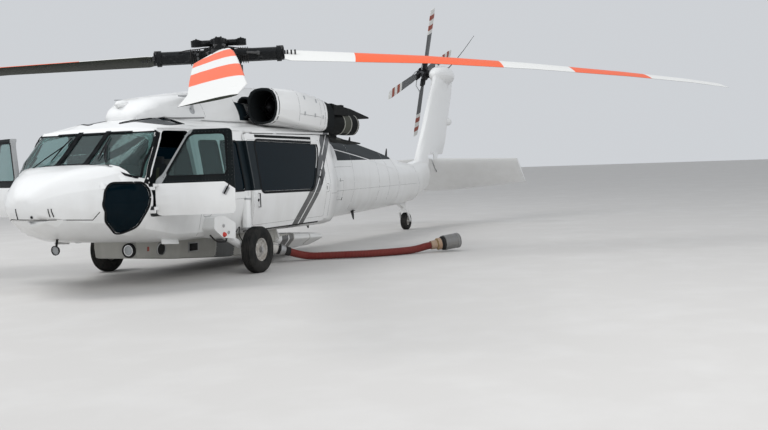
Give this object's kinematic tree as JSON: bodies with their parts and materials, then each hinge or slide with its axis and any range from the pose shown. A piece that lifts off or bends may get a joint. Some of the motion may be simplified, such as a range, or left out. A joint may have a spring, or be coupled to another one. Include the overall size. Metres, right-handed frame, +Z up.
{
  "type": "utility helicopter",
  "caption": "Single-rotor utility helicopter on wheels with engines on the cabin roof, sliding cabin doors, a belly water tank and a suction hose with a pump head.",
  "frame": {"origin": "on the ground, under the middle of the craft's bounding box without the loose hose", "axes": "+X towards the nose, +Y to port, +Z up"},
  "size_m": [18.5978, 14.4797, 5.1066],
  "materials": {
    "white_paint": "gloss white paint",
    "tinted_glass": "dark tinted glazing",
    "tyre": "black tyre on a pale rim",
    "blade_paint": "white and orange bands",
    "tail_blade_paint": "grey with white and red tips",
    "rotor_head": "dark metal and elastomer",
    "exhaust_metal": "sooty black",
    "engine_metal": "dark metal",
    "cockpit_black": "matt black",
    "seat_fabric": "dark cloth",
    "tank_paint": "pale grey paint",
    "hose_rubber": "ribbed dark red rubber",
    "coupling_metal": "worn grey metal",
    "pump_steel": "steel with a brass collar",
    "lamp": "lamp with a black rim",
    "gear_paint": "white paint with bare metal"
  },
  "bodies": {
    "airframe": {"aft_fuselage": "white_paint", "cabin_shell": "white_paint", "chin_window_port": "tinted_glass", "chin_window_starboard": "tinted_glass", "cockpit_shell": "white_paint", "crew_seat_port": "seat_fabric", "crew_seat_starboard": "seat_fabric", "engine_block_port": "engine_metal", "engine_block_starboard": "engine_metal", "engine_cowling_port": "white_paint", "engine_cowling_starboard": "white_paint", "exhaust_port": "exhaust_metal", "exhaust_starboard": "exhaust_metal", "gunner_window_port": "tinted_glass", "gunner_window_starboard": "tinted_glass", "hose": "hose_rubber", "hose_coupling": "coupling_metal", "instrument_panel": "cockpit_black", "landing_light": "lamp", "main_gear_port": "gear_paint", "main_gear_starboard": "gear_paint", "nose_bay_door": "white_paint", "pump_head": "pump_steel", "roof_fairing": "white_paint", "roof_window_port": "tinted_glass", "roof_window_starboard": "tinted_glass", "searchlight": "lamp", "tail_cone": "white_paint", "tail_gear_leg": "gear_paint", "tail_pylon": "white_paint", "water_tank": "tank_paint", "windscreen": "tinted_glass"},
    "main_rotor": {"main_blade_1": "blade_paint", "main_blade_2": "blade_paint", "main_blade_3": "blade_paint", "main_blade_4": "blade_paint", "main_rotor_hub": "rotor_head"},
    "tail_rotor": {"tail_rotor_beam_1": "tail_blade_paint", "tail_rotor_beam_2": "tail_blade_paint", "tail_rotor_hub": "rotor_head"},
    "main_wheel_port": {"main_wheel_port": "tyre"},
    "main_wheel_starboard": {"main_wheel_starboard": "tyre"},
    "tail_fork": {"tail_gear_fork": "gear_paint"},
    "tail_wheel": {"tail_wheel": "tyre"},
    "cockpit_door_port": {"cockpit_door_glass_port": "tinted_glass", "cockpit_door_port": "white_paint"},
    "cockpit_door_starboard": {"cockpit_door_glass_starboard": "tinted_glass", "cockpit_door_starboard": "white_paint"},
    "cabin_door_port": {"cabin_door_glass_port": "tinted_glass", "cabin_door_port": "white_paint"},
    "cabin_door_starboard": {"cabin_door_glass_starboard": "tinted_glass", "cabin_door_starboard": "white_paint"},
    "stabilator": {"stabilator": "white_paint"}
  },
  "joints": [
    {"name": "main_rotor_spin", "type": "hinge", "parent": "airframe", "child": "main_rotor", "pos_m": [2.227, 0, 3.3], "axis": [0.0523, 0, 0.9986], "continuous": true},
    {"name": "tail_rotor_spin", "type": "hinge", "parent": "airframe", "child": "tail_rotor", "pos_m": [-7.703, -0.37, 3.587], "axis": [0, -0.9397, 0.342], "continuous": true},
    {"name": "main_wheel_port_spin", "type": "hinge", "parent": "airframe", "child": "main_wheel_port", "pos_m": [3.527, 1.31, 0.33], "axis": [0, 1, 0], "continuous": true},
    {"name": "main_wheel_starboard_spin", "type": "hinge", "parent": "airframe", "child": "main_wheel_starboard", "pos_m": [3.527, -1.31, 0.33], "axis": [0, 1, 0], "continuous": true},
    {"name": "tail_fork_swivel", "type": "hinge", "parent": "airframe", "child": "tail_fork", "pos_m": [-5.023, 0, 0.48], "axis": [0, 0, 1], "continuous": true},
    {"name": "tail_wheel_spin", "type": "hinge", "parent": "tail_fork", "child": "tail_wheel", "pos_m": [-5.173, 0, 0.19], "axis": [0, 1, 0], "continuous": true},
    {"name": "cockpit_door_port_hinge", "type": "hinge", "parent": "airframe", "child": "cockpit_door_port", "pos_m": [5.647, 1.118, 1.15], "axis": [0, 0, 1], "range_deg": [-28, 62]},
    {"name": "cockpit_door_starboard_hinge", "type": "hinge", "parent": "airframe", "child": "cockpit_door_starboard", "pos_m": [5.647, -1.118, 1.15], "axis": [0, 0, -1], "range_deg": [-28, 62]},
    {"name": "cabin_door_port_slide", "type": "slide", "parent": "airframe", "child": "cabin_door_port", "axis": [-1, 0, 0], "range_m": [0, 1.7]},
    {"name": "cabin_door_starboard_slide", "type": "slide", "parent": "airframe", "child": "cabin_door_starboard", "axis": [-1, 0, 0], "range_m": [0, 1.7]},
    {"name": "stabilator_hinge", "type": "hinge", "parent": "airframe", "child": "stabilator", "pos_m": [-6.693, 0, 1.35], "axis": [0, 1, 0], "range_deg": [0, 48]}
  ]
}
